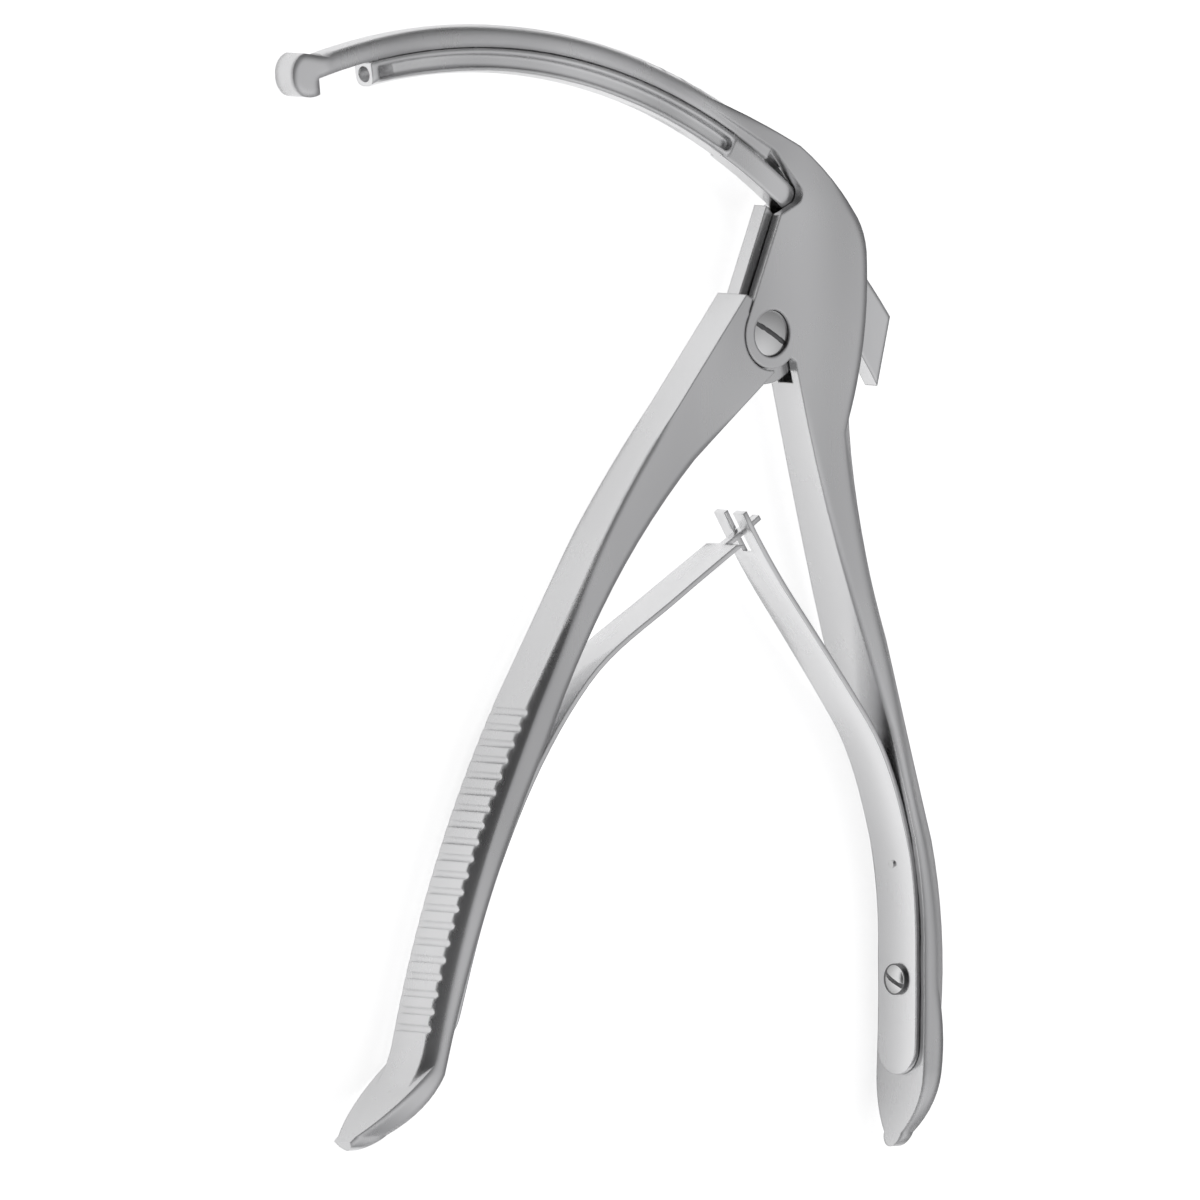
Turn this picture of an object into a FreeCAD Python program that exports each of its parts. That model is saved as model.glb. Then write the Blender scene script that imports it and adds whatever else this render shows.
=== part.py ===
import FreeCAD, Part
import math
import os
import re

import Sketcher

# A bone rongeur that lies on its side. +Y runs along it, from the grips up to the jaw, and Z is across
# its flat side. Every outline below is drawn about the pivot, and each piece is then placed by its
# pivot in the part's own frame.

# Driving sizes in millimetres and degrees.
SIZES = {
    # Where the pivot stands in the part's frame.
    "pivot_x": 37.36,
    "pivot_y": 46.25,
    "grip_width": 13.0,
    # Clearances between pieces that move past each other.
    "running_gap": 0.3,
    "pin_gap": 0.05,
    # Joint: two cheeks with a slot between them, and the tongue that turns in it.
    "joint_width": 8.0,
    "arm_side_y": 48.0,
    "shoulder_side_y": 22.0,
    "joint_side_y": -10.0,
    "grip_y": -88.0,
    "tip_bow": 17.0,
    "tip_round": 2.4,
    "tip_straight": 2.6,
    "tip_arc": 2.64,
    "cheek_hollow": 0.798565,
    "frame_bevel": 2.6,
    "frame_bevel_side": 1.2,
    "handle_bevel": 2.0,
    "fixed_end_y": -151.9,
    "working_end_y": -145.9,
    "tongue_width": 3.4,
    "boss_radius": 6.5,
    "hub_radius": 9.5,
    "slot_radius": 11.8,
    "closing_angle": 36.0,
    # Pivot screw.
    "screw_shank_radius": 2.5,
    "screw_head_radius": 4.3,
    "screw_head_depth": 1.3,
    "screw_head_bevel": 0.4,
    "screw_slot_width": 0.9,
    "screw_slot_depth": 0.7,
    # Curved guide arm: every guide face is an arc about one centre.
    "arm_under_radius": 132.4,
    "pivot_drop": 24.911,
    "centre_line_angle": 45.754,
    "arm_height": 4.0,
    "arm_width": 5.0,
    "arm_start_angle": 55.5,
    "arm_end_angle": 104.0,
    "arm_rounding": 1.8,
    # Guide groove and rail, both shaped as a T.
    "rail_lip": 0.9,
    "rail_head_height": 0.9,
    "rail_neck_width": 1.6,
    "rail_head_width": 2.7,
    "groove_start_angle": 52.0,
    "groove_end_angle": 103.6,
    # Curved slide.
    "slide_height": 4.5,
    "slide_width": 4.6,
    "slide_rounding": 1.7,
    "cutter_angle": 99.4,
    "slide_back_angle": 59.0,
    "rail_front_angle": 96.5,
    "tail_height": 9.8,
    "tail_front_angle": 47.0,
    "tail_end_outer_angle": 36.6,
    "tail_end_inner_angle": 32.7,
    "tooth_radius": 2.4,
    "tooth_reach": 19.5,
    "notch_mouth": 4.3,
    "tail_drop": 5.5,
    "notch_lag": 0.02,
    "cutter_bore_radius": 1.5,
    "cutter_bore_depth": 6.0,
    "channel_width": 2.4,
    "channel_depth": 1.3,
    "channel_front_angle": 98.6,
    # Serrations on the working handle's outer face.
    "grip_arc_radius": 227.0,
    "grip_centre_x": 135.0,
    "grip_centre_y": -181.0,
    "serration_radius": 0.8,
    "serration_depth": 0.45,
    "serration_first_angle": 149.9,
    "serration_span": 15.6,
    # Leaf springs, thinner and narrower at their tips.
    "leaf_thickness": 1.0,
    "leaf_root_width": 10.4,
    "leaf_tip_width": 8.2,
    "leaf_fork_width": 2.4,
    "leaf_tongue_width": 1.8,
    "interlock_y": -37.3,
    # Screws and pins that hold the leaf springs.
    "leaf_screw_radius": 1.5,
    "leaf_screw_length": 4.4,
    "leaf_head_radius": 2.9,
    "leaf_head_height": 1.5,
    "leaf_head_bevel": 0.9,
    "leaf_slot_width": 0.8,
    "leaf_slot_depth": 0.6,
    "leaf_pin_radius": 0.7,
    "leaf_pin_length": 3.4,
    "right_screw_x": 34.35,
    "right_screw_y": -121.0,
    "right_pin_x": 32.8,
    "right_pin_y": -99.7,
    "right_face_angle": 0.0,
    "left_screw_x": -76.06,
    "left_screw_y": -118.0,
    "left_pin_x": -69.0,
    "left_pin_y": -98.3,
    "left_face_angle": 159.2,
    "all_through": 600.0,
}

# Outline points about the pivot. A third number is the bow of the edge that leaves the point: its
# radius, more than 0 where its centre is on the left of the way and less where it is on the right.
POINTS = {
    # Fixed handle and the frame at its head, down the back and up the inner face.
    "back_high": (23.3, 12.5, -75),
    "back_waist": (19.7, -14.0, 124),
    "back_middle": (27.4, -57.7, 900),
    "back_grip": (38.1, -95.0, -99),
    "back_low": (40.0, -132.0, -40),
    "fixed_tip_out": (33.6, -154.0),
    "fixed_tip_in": (31.6, -154.0, 45),
    "inner_root": (35.1, -138.0, 286),
    "inner_low": (35.42, -117.0, 85.7),
    "inner_grip": (33.24, -94.6, 520),
    "inner_middle": (27.2, -74.0, -520),
    "inner_high": (5.8, -5.4),
    "boss_low": (4.5, -4.7, -6.5),
    "boss_high": (-5.9, 2.7),
    "cheek_front": (2.1, 21.8),
    "cheek_corner": (6.6, 23.8),
    # Slot between the cheeks.
    "slot_front_low": (-20.0, -9.0),
    "slot_floor_front": (-7.58, -9.04, 11.8),
    "slot_floor_back": (11.4, -3.05),
    "slot_back_low": (30.0, -9.0),
    "slot_back": (40.0, 0.0),
    "slot_front_high": (-20.0, 30.0),
    # Working handle, down its outer face and back up the inner one.
    "shoulder_top": (-6.3, 7.4),
    "outer_high": (-22.7, -12.1, 211),
    "outer_middle": (-44.5, -40.3),
    "grip_top": (-60.2, -65.0, 227),
    "grip_low": (-85.3, -126.0, -18),
    "flare_top": (-89.4, -134.4),
    "flare_tip": (-101.6, -144.2),
    "working_tip": (-100.0, -146.4, 30),
    "heel_low": (-82.3, -132.5, -245),
    "heel_middle": (-57.0, -72.4, -167),
    "heel_high": (-19.2, -22.5),
    "heel_joint": (0.6, -7.2),
    "shoulder_joint": (-4.75, 6.6),
    "shoulder_seat": (-5.75, 4.1),
    # Tongue: its hub turns in the slot, and its front fills the slot below the slide.
    "tongue_root": (-13.0, -3.0),
    "tongue_heel": (-9.0, -11.0),
    "hub_low": (-1.98, -9.29, 9.5),
    "tongue_waist": (5.4, 9.0),
    "tongue_back": (5.0, 18.9),
    "tongue_top": (0.6, 23.4),
    "tongue_foot": (-6.2, 7.2),
}

# Points that follow the guide arc: how far above the arm's underside, the angle about the arc's
# centre, and the bow of the edge that leaves the point.
ARC_POINTS = {
    "arm_back": (2.2, 66.0, -170),
    "shoulder_high": (6.1, 53.4, -60),
    "shoulder_low": (4.7, 46.2, -14),
    "cheek_top": (0.0, 51.9),
    "arm_middle": (2.0, 55.5),
    "arm_middle_back": (2.0, 66.0),
    "nose_top": (2.2, 102.6),
    "hook_top": (5.5, 105.9, 3.6),
    "hook_back": (2.5, 107.5, 4.2),
    "hook_foot": (-1.7, 107.1, 6.0),
    "hook_tip": (-2.9, 105.2),
    "hook_corner": (0.0, 105.0, -132.4),
    "nose_under": (0.0, 102.6),
    "slot_top_back": (0.0, 36.0, 132.4),
    "slot_top_front": (0.0, 56.0),
}

# Leaf springs: the face turned to the other handle, from root to tip, with the slope of the leaf there.
LEFT_LEAF = [(-79.3, -127.5, 70.0), (-71.6, -104.6, 68.5), (-63.2, -86.6, 61.0), (-45.3, -62.5, 45.0),
             (-23.7, -48.4, 31.0), (-5.7, -37.9, 30.0), (0.0, -34.4, 33.0)]
RIGHT_LEAF = [(33.9, -138.6, 86.0), (34.35, -117.0, 90.0), (32.2, -95.0, 105.0), (22.4, -72.4, 127.0),
              (4.4, -49.6, 129.0), (-7.2, -33.0, 122.0)]
SERRATIONS = 20

doc = FreeCAD.newDocument("bone_rongeur")
sheet = doc.addObject("Spreadsheet::Sheet", "Sizes")
cells = {}


def write_cell(name, value):
    """Give one size its own row and alias in the sheet."""
    row = len(cells) + 1
    sheet.set(f"A{row}", name)
    sheet.set(f"B{row}", str(value))
    sheet.setAlias(f"B{row}", name)
    cells[name] = value


for size_name, size_value in SIZES.items():
    write_cell(size_name, size_value)
for point_name, numbers in POINTS.items():
    for part, number in zip(("_x", "_y", "_bow"), numbers):
        write_cell(point_name + part, number)
for point_name, numbers in ARC_POINTS.items():
    for part, number in zip(("_rise", "_angle", "_bow"), numbers):
        write_cell(point_name + part, number)
for side, leaf in (("left", LEFT_LEAF), ("right", RIGHT_LEAF)):
    for number, (leaf_x, leaf_y, leaf_slope) in enumerate(leaf, 1):
        write_cell(f"{side}_leaf_x_{number}", leaf_x)
        write_cell(f"{side}_leaf_y_{number}", leaf_y)
        write_cell(f"{side}_leaf_slope_{number}", leaf_slope)
doc.recompute()


# The guide arc's centre, kept at one distance from the pivot measured from the arm's underside.
CENTRES = {
    "arc_centre_x": "((pivot_drop - arm_under_radius) * cos(centre_line_angle * 1deg))",
    "arc_centre_y": "((pivot_drop - arm_under_radius) * sin(centre_line_angle * 1deg))",
}


def bound(text):
    """Turn the size names in a formula into references to the sheet."""
    for name, formula in CENTRES.items():
        text = text.replace(name, formula)
    return re.sub(r"[a-z][a-z0-9_]*", lambda word: "Sizes." * (word[0] in cells) + word[0], text)


def value(text):
    """Work out a formula with the sheet's present sizes."""
    result = sheet.evalExpression(bound(text))
    return float(getattr(result, "Value", result))


def polar(radius, angle):
    """The two formulas of a point on an arc about the slide's centre."""
    return f"arc_centre_x + ({radius}) * cos(({angle}) * 1deg)", f"arc_centre_y + ({radius}) * sin(({angle}) * 1deg)"


def at(*names):
    """The corners of an outline through named points."""
    corners = []
    for name in names:
        bow = cells.get(name + "_bow")
        if name in POINTS:
            corner = (name + "_x", name + "_y")
        else:
            corner = polar(f"arm_under_radius + {name}_rise", name + "_angle")
        if bow is not None:
            corner += (f"abs({name}_bow)", "left" if bow > 0 else "right")
        corners.append(corner)
    return corners


def new_body(label):
    """A body whose own origin is the pivot."""
    body = doc.addObject("PartDesign::Body", label)
    body.Label = label
    body.setExpression(".Placement.Base.x", bound("pivot_x"))
    body.setExpression(".Placement.Base.y", bound("pivot_y"))
    body.setExpression(".Placement.Base.z", bound("grip_width / 2"))
    return body


def new_sketch(body, name, plane="XY_Plane", place=("0", "0", "0"), turn=None):
    """A sketch on one of the body's own planes, moved and turned about the plane's second axis."""
    sketch = body.newObject("Sketcher::SketchObject", name)
    support = [feature for feature in body.Origin.OriginFeatures if feature.Role == plane][0]
    sketch.AttachmentSupport = [(support, "")]
    sketch.MapMode = "FlatFace"
    if turn is not None:
        sketch.AttachmentOffset = FreeCAD.Placement(FreeCAD.Vector(), FreeCAD.Rotation(FreeCAD.Vector(0, 1, 0), 1))
        sketch.setExpression(".AttachmentOffset.Rotation.Angle", bound(turn))
    for axis, text in zip("xyz", place):
        if text != "0":
            sketch.setExpression(".AttachmentOffset.Base." + axis, bound(text))
    return sketch


def pin_point(sketch, index, end, x_text, y_text):
    """Bind one end of a line or arc to two formulas."""
    for kind, text in (("DistanceX", x_text), ("DistanceY", y_text)):
        number = sketch.addConstraint(Sketcher.Constraint(kind, -1, 1, index, end, value(text)))
        sketch.setExpression(f"Constraints[{number}]", bound(text))


def arc_between(start, finish, radius, turn):
    """The shorter arc between two points, with its centre to the left or the right of the way."""
    chord = finish - start
    rise = math.sqrt(max(radius ** 2 - chord.Length ** 2 / 4, 0))
    aside = FreeCAD.Vector(-chord.y, chord.x, 0).normalize() * (1 if turn == "left" else -1)
    centre = (start + finish) * 0.5 + aside * rise
    return Part.Arc(start, centre - aside * radius, finish)


def hollow(first, second, depth):
    """A corner whose edge bows outwards by a depth on its way to the next corner."""
    start, end = at(first, second)
    chord_squared = f"((({start[0]}) - ({end[0]}))^2 + (({start[1]}) - ({end[1]}))^2)"
    return [start[:2] + (f"({chord_squared} / 4 + {depth}^2) / (2 * {depth})", "left")]


def draw(sketch, corners):
    """Draw one closed outline. A corner is (x, y), or (x, y, radius, turn) where an arc leaves it."""
    spots = [FreeCAD.Vector(value(corner[0]), value(corner[1]), 0) for corner in corners]
    ends = []
    for number, corner in enumerate(corners):
        start, finish = spots[number], spots[(number + 1) % len(spots)]
        if len(corner) == 2:
            index = sketch.addGeometry(Part.LineSegment(start, finish), False)
        else:
            index = sketch.addGeometry(arc_between(start, finish, value(corner[2]), corner[3]), False)
        first = 1 if sketch.getPoint(index, 1).distanceToPoint(start) < 1e-6 else 2
        ends.append((index, first, 3 - first))
    for number, corner in enumerate(corners):
        index, first, last = ends[number]
        behind = ends[number - 1]
        sketch.addConstraint(Sketcher.Constraint("Coincident", behind[0], behind[2], index, first))
        pin_point(sketch, index, first, corner[0], corner[1])
        if len(corner) == 4:
            radius = sketch.addConstraint(Sketcher.Constraint("Radius", index, value(corner[2])))
            sketch.setExpression(f"Constraints[{radius}]", bound(corner[2]))
    return sketch


def circle(sketch, x_text, y_text, radius_text):
    """Draw one circle, bound in place and radius."""
    centre = FreeCAD.Vector(value(x_text), value(y_text), 0)
    index = sketch.addGeometry(Part.Circle(centre, FreeCAD.Vector(0, 0, 1), value(radius_text)), False)
    pin_point(sketch, index, 3, x_text, y_text)
    number = sketch.addConstraint(Sketcher.Constraint("Radius", index, value(radius_text)))
    sketch.setExpression(f"Constraints[{number}]", bound(radius_text))
    return sketch


def box_corners(low_x, high_x, low_y, high_y):
    """Corners of an upright rectangle."""
    return [(low_x, low_y), (high_x, low_y), (high_x, high_y), (low_x, high_y)]


def across(body, kind, sketch, length):
    """Pad or pocket a sketch by the same amount to both sides of its plane."""
    feature = body.newObject("PartDesign::" + kind, sketch.Name + kind)
    feature.Profile = sketch
    feature.SideType = "Symmetric"
    feature.setExpression("Length", bound(length))
    sketch.Visibility = False
    doc.recompute()
    return feature


def sweep_round(body, kind, sketch, angle):
    """Turn a cross-section about the slide's centre, against the clock."""
    feature = body.newObject("PartDesign::" + kind, sketch.Name + kind)
    feature.Profile = sketch
    feature.ReferenceAxis = (sketch, ["V_Axis"])
    feature.setExpression("Angle", bound(angle))
    doc.recompute()
    return feature


def section(body, name, start_angle):
    """A cross-section sketch: first axis outwards from the slide's centre, second axis across."""
    return new_sketch(body, name, "XZ_Plane", ("arc_centre_x", "0", "-(arc_centre_y)"), start_angle)


def drill(body, name, x_text, y_text, angle, radius, depth):
    """A round hole along a direction in the part's plane, sunk by the depth from the named place."""
    sketch = new_sketch(body, name, "YZ_Plane", (y_text, "0", x_text), angle)
    circle(sketch, "0", "0", radius)
    return across(body, "Pocket", sketch, f"2 * ({depth})")


def long_rims(shape, toward):
    """Names of the longest near edge and the longest far edge of the faces that look toward a direction."""
    longest = {}
    for number, edge in enumerate(shape.Edges, 1):
        heights = [vertex.Point.z for vertex in edge.Vertexes]
        if len(heights) < 2 or heights[0] * heights[-1] <= 0:
            continue
        side = heights[0] > 0
        for face in shape.ancestorsOfType(edge, Part.Face):
            low_u, high_u, low_v, high_v = face.ParameterRange
            normal = face.normalAt((low_u + high_u) / 2, (low_v + high_v) / 2)
            looks_there = normal.dot(toward) > abs(normal.z)
            if looks_there and edge.Length > longest.get(side, (0, ""))[0]:
                longest[side] = (edge.Length, f"Edge{number}")
    return [name for length, name in longest.values()]


def bevel_rims(body, size, toward, side_size=None):
    """Bevel both rims of an outline face, and of the faces that run on smoothly from it."""
    tip = body.Tip
    bevel = body.newObject("PartDesign::Chamfer", body.Name + "Bevel")
    bevel.Base = (tip, long_rims(tip.Shape, toward))
    bevel.setExpression("Size", bound(size))
    if side_size:
        bevel.ChamferType = "Two distances"
        bevel.setExpression("Size2", bound(side_size))
    tip.Visibility = False
    doc.recompute()


def taper_sides(body, sketch_name, corners):
    """Thin a padded outline. The corners are (y, half width), with a bow where an arc leaves them."""
    sketch = new_sketch(body, sketch_name, "YZ_Plane")
    for sign, swap in (("", {"left": "left", "right": "right"}), ("-", {"left": "right", "right": "left"})):
        inner = []
        for corner in corners:
            inner.append((corner[0], f"{sign}({corner[1]})") + tuple(swap.get(part, part) for part in corner[2:]))
        outer = [(corners[-1][0], f"{sign}grip_width"), (corners[0][0], f"{sign}grip_width")]
        draw(sketch, inner + outer)
    return across(body, "Pocket", sketch, "all_through")


def s_curve(start_y, start_half, end_y, end_half):
    """Two equal arcs, back to back, that carry a half width from one level to another."""
    reach, change = f"(({start_y}) - ({end_y})) / 2", f"(({end_half}) - ({start_half})) / 2"
    bow = f"(({reach})^2 + ({change})^2) / (2 * abs({change}))"
    first, second = ("right", "left") if value(change) > 0 else ("left", "right")
    return [(start_y, start_half, bow, first),
            (f"(({start_y}) + ({end_y})) / 2", f"(({start_half}) + ({end_half})) / 2", bow, second),
            (end_y, end_half)]


def round_tip(body, name, tip_y):
    """Round a handle's end seen from its face: two long bows and a small round end."""
    sketch = new_sketch(body, name, "YZ_Plane")
    half, small = "grip_width / 2", "tip_round"
    bow_y = f"{tip_y} + tip_straight"
    drop = f"sqrt(tip_bow^2 - (tip_bow - ({half} - {small}))^2)"
    draw(sketch, [
        (f"{bow_y} + {drop}", half, "tip_bow", "left"), (bow_y, small, "tip_arc", "left"),
        (tip_y, "0", "tip_arc", "left"), (bow_y, f"-{small}", "tip_bow", "left"),
        (f"{bow_y} + {drop}", f"-{half}"), (f"{bow_y} + {drop}", "-grip_width"),
        (f"{tip_y} - grip_width", "-grip_width"), (f"{tip_y} - grip_width", "grip_width"),
        (f"{bow_y} + {drop}", "grip_width")])
    return across(body, "Pocket", sketch, "all_through")


TONGUE_ANGLE = "centre_line_angle - closing_angle / 2"
SLIDE_TOP = "arm_under_radius - running_gap"


def build_frame():
    """Fixed handle, frame and guide arm: one forging."""
    body = new_body("frame_handle")
    plate = draw(new_sketch(body, "FramePlate"), at(
        "arm_back", "shoulder_high", "shoulder_low", "back_high", "back_waist", "back_middle", "back_grip",
        "back_low", "fixed_tip_out", "fixed_tip_in", "inner_root", "inner_low", "inner_grip",
        "inner_middle", "inner_high", "boss_low", "boss_high", "cheek_front")
        + hollow("cheek_corner", "cheek_top", "cheek_hollow") + at("cheek_top", "arm_middle", "arm_middle_back"))
    across(body, "Pad", plate, "grip_width")
    taper_sides(body, "FrameSides", [("arm_side_y + grip_width", "arm_width / 2")]
                + s_curve("arm_side_y", "arm_width / 2", "shoulder_side_y", "joint_width / 2")
                + s_curve("joint_side_y", "joint_width / 2", "grip_y", "grip_width / 2"))
    round_tip(body, "FrameTip", "fixed_end_y")
    bevel_rims(body, "frame_bevel", FreeCAD.Vector(1, 0, 0), "frame_bevel_side")
    half, top = "arm_width / 2", "arm_under_radius + arm_height"
    arm = draw(section(body, "ArmSection", "arm_start_angle"), [
        ("arm_under_radius", f"-{half}"), (f"{top} - arm_rounding", f"-{half}", "arm_rounding", "left"),
        (top, f"arm_rounding - {half}"), (top, f"{half} - arm_rounding", "arm_rounding", "left"),
        (f"{top} - arm_rounding", half), ("arm_under_radius", half)])
    sweep_round(body, "Revolution", arm, "arm_end_angle - arm_start_angle")
    nose = draw(new_sketch(body, "NoseOutline"), at(
        "nose_top", "hook_top", "hook_back", "hook_foot", "hook_tip", "hook_corner", "nose_under"))
    across(body, "Pad", nose, "arm_width")
    slot = draw(new_sketch(body, "SlotOutline"), at(
        "slot_front_low", "slot_floor_front", "slot_floor_back", "slot_back_low", "slot_back",
        "slot_top_back", "slot_top_front", "slot_front_high"))
    across(body, "Pocket", slot, "tongue_width + 2 * running_gap")
    lip_top = "arm_under_radius + rail_lip"
    groove = draw(section(body, "GrooveSection", "groove_start_angle"), t_corners(
        "arm_under_radius - arm_height / 4", lip_top, "rail_neck_width / 2 + running_gap",
        f"{lip_top} + rail_head_height + 2 * running_gap", "rail_head_width / 2 + running_gap"))
    sweep_round(body, "Groove", groove, "groove_end_angle - groove_start_angle")
    hole = circle(new_sketch(body, "ScrewHole"), "0", "0", "screw_shank_radius")
    across(body, "Pocket", hole, "2 * grip_width")
    seat = circle(new_sketch(body, "ScrewSeat", "XY_Plane", ("0", "0", "joint_width / 2")),
                  "0", "0", "screw_head_radius + pin_gap")
    across(body, "Pocket", seat, "2 * screw_head_depth")
    drill_leaf_holes(body, "right")
    return body


def t_corners(low, lip, neck, top, head):
    """Corners of a T section that stands outwards, neck below head."""
    return [(low, f"-({neck})"), (lip, f"-({neck})"), (lip, f"-({head})"), (top, f"-({head})"),
            (top, head), (lip, head), (lip, neck), (low, neck)]


def build_working_handle():
    """Handle that is squeezed, with the tongue that turns in the frame's slot."""
    body = new_body("working_handle")
    outline = draw(new_sketch(body, "HandleOutline"), at(
        "shoulder_top", "outer_high", "outer_middle", "grip_top", "grip_low", "flare_top", "flare_tip",
        "working_tip", "heel_low", "heel_middle", "heel_high", "heel_joint", "shoulder_seat",
        "shoulder_joint"))
    across(body, "Pad", outline, "grip_width")
    bevel_rims(body, "handle_bevel", FreeCAD.Vector(-1, 0, 0))
    taper_sides(body, "HandleSides", [("arm_side_y", "joint_width / 2")]
                + s_curve("joint_side_y", "joint_width / 2", "grip_y", "grip_width / 2"))
    round_tip(body, "HandleTip", "working_end_y")
    clear = circle(new_sketch(body, "BossClearance"), "0", "0", "boss_radius + running_gap")
    across(body, "Pocket", clear, "2 * grip_width")
    tongue = draw(new_sketch(body, "TongueOutline"), at("tongue_root", "tongue_heel", "hub_low") + [
        tooth_point("sqrt(hub_radius^2 - tooth_radius^2)", "-tooth_radius"),
        tooth_point("tooth_reach", "-tooth_radius") + ("tooth_radius", "left"),
        tooth_point("tooth_reach + tooth_radius", "0") + ("tooth_radius", "left"),
        tooth_point("tooth_reach", "tooth_radius"), tooth_point("hub_radius - tooth_radius", "tooth_radius")]
        + at("tongue_waist", "tongue_back", "tongue_top", "tongue_foot"))
    across(body, "Pad", tongue, "tongue_width")
    hole = circle(new_sketch(body, "PivotHole"), "0", "0", "screw_shank_radius + pin_gap")
    across(body, "Pocket", hole, "2 * grip_width")
    drill_leaf_holes(body, "left")
    cut_serrations(body)
    return body


def tooth_point(along, aside):
    """A point measured from the pivot along the tooth and square to it."""
    turn = f"(({TONGUE_ANGLE}) * 1deg)"
    return (f"({along}) * cos{turn} - ({aside}) * sin{turn}", f"({along}) * sin{turn} + ({aside}) * cos{turn}")


def build_slide():
    """Curved slide: the cutter at its front, a T rail along its back, and a notched tail in the slot."""
    body = new_body("curved_slide")
    half = "slide_width / 2"
    low = f"{SLIDE_TOP} - slide_height"
    round_low = f"{low} + slide_rounding"
    bar = draw(section(body, "BarSection", "slide_back_angle"), [
        (SLIDE_TOP, f"-{half}"), (SLIDE_TOP, half), (round_low, half, "slide_rounding", "left"),
        (low, f"{half} - slide_rounding"), (low, f"slide_rounding - {half}", "slide_rounding", "left"),
        (round_low, f"-{half}")])
    sweep_round(body, "Revolution", bar, "cutter_angle - slide_back_angle")
    rail = draw(section(body, "RailSection", "slide_back_angle"), t_corners(
        f"{SLIDE_TOP} - 0.5", "arm_under_radius + rail_lip + running_gap", "rail_neck_width / 2",
        "arm_under_radius + rail_lip + running_gap + rail_head_height", "rail_head_width / 2"))
    sweep_round(body, "Revolution", rail, "rail_front_angle - slide_back_angle")
    tail_low = f"{SLIDE_TOP} - tail_height"
    tail = draw(new_sketch(body, "TailOutline"), [
        polar(SLIDE_TOP, "slide_back_angle + 0.5") + (SLIDE_TOP, "right"), polar(SLIDE_TOP, "tail_end_outer_angle"),
        polar(tail_low, "tail_end_inner_angle") + (tail_low, "left"), polar(tail_low, "tail_front_angle"),
        polar(low, "tail_front_angle + 0.6") + (low, "left"), polar(low, "slide_back_angle + 0.5")])
    across(body, "Pad", tail, "tongue_width")
    notch_sides = "tooth_radius + running_gap"
    notch = draw(new_sketch(body, "NotchOutline"), [
        notch_point("-10", "-notch_mouth - 2"), notch_point("-tail_drop", "-notch_mouth"),
        notch_point("0", f"-({notch_sides})") + (notch_sides, "left"),
        notch_point(notch_sides, "0") + (notch_sides, "left"),
        notch_point("0", notch_sides), notch_point("-tail_drop", "notch_mouth"),
        notch_point("-10", "notch_mouth + 2")])
    across(body, "Pocket", notch, "2 * grip_width")
    bore_radius = f"{SLIDE_TOP} - slide_height / 2"
    drill(body, "CutterBore", *polar(bore_radius, "cutter_angle"), "cutter_angle + 90",
          "cutter_bore_radius", "cutter_bore_depth")
    channel_high = f"{bore_radius} + channel_width / 2"
    channel_low = f"{bore_radius} - channel_width / 2"
    channel = draw(new_sketch(body, "ChannelOutline", "XY_Plane", ("0", "0", half)), [
        polar(channel_high, "channel_front_angle"),
        polar(channel_low, "channel_front_angle") + (channel_low, "right"),
        polar(channel_low, "slide_back_angle + 0.8") + ("channel_width / 2", "left"),
        polar(bore_radius, "slide_back_angle + 0.8 - channel_width / 4.5") + ("channel_width / 2", "left"),
        polar(channel_high, "slide_back_angle + 0.8") + (channel_high, "left")])
    across(body, "Pocket", channel, "2 * channel_depth")
    return body


def notch_point(along, aside):
    """A point of the notch, outwards and across, from where the tooth reaches deepest in the slide."""
    centre_x, centre_y = tooth_point("tooth_reach", "0")
    ray = f"(atan2(({centre_y}) - arc_centre_y; ({centre_x}) - arc_centre_x) - notch_lag * 1deg)"
    deepest = f"(sqrt(arc_centre_x^2 + arc_centre_y^2) + tooth_reach + {along})"
    return (f"arc_centre_x + {deepest} * cos{ray} - ({aside}) * sin{ray}",
            f"arc_centre_y + {deepest} * sin{ray} + ({aside}) * cos{ray}")


def build_pivot_screw():
    """Slotted screw: a low bevelled head sunk in the near cheek, a shank through the tongue."""
    body = new_body("pivot_screw")
    top = "joint_width / 2"
    under = f"{top} - screw_head_depth"
    profile = draw(new_sketch(body, "ScrewProfile", "XZ_Plane"), [
        ("0", f"-{top}"), ("screw_shank_radius", f"-{top}"), ("screw_shank_radius", under),
        ("screw_head_radius", under), ("screw_head_radius", f"{top} - screw_head_bevel"),
        ("screw_head_radius - screw_head_bevel", top), ("0", top)])
    turn = body.newObject("PartDesign::Revolution", "ScrewTurn")
    turn.Profile = profile
    turn.ReferenceAxis = (profile, ["V_Axis"])
    turn.Angle = 360
    doc.recompute()
    cut_screw_slot(body, "ScrewSlot", top, "screw_head_radius", "screw_slot_width", "screw_slot_depth", "-30")
    return body


def cut_screw_slot(body, name, top, radius, width, depth, turn):
    """Saw a driver slot across a head whose axis is the body's Z."""
    sketch = new_sketch(body, name, "XY_Plane", ("0", "0", top))
    half = f"({width}) / 2"
    reach = f"({radius} + 1)"
    corners = []
    for along, aside in ((f"-{reach}", f"-{half}"), (reach, f"-{half}"), (reach, half), (f"-{reach}", half)):
        corners.append((f"{along} * cos({turn} * 1deg) - {aside} * sin({turn} * 1deg)",
                        f"{along} * sin({turn} * 1deg) + {aside} * cos({turn} * 1deg)"))
    draw(sketch, corners)
    return across(body, "Pocket", sketch, f"2 * ({depth})")


def drill_leaf_holes(body, side, play="0"):
    """Holes for the screw and the pin that hold one leaf spring, wider by the play."""
    drill(body, side.title() + "ScrewHole", f"{side}_screw_x", f"{side}_screw_y", f"{side}_face_angle",
          f"leaf_screw_radius + {play}", "leaf_screw_length + pin_gap")
    drill(body, side.title() + "PinHole", f"{side}_pin_x", f"{side}_pin_y", f"{side}_face_angle",
          f"leaf_pin_radius + {play}", "leaf_pin_length + pin_gap")


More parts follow.
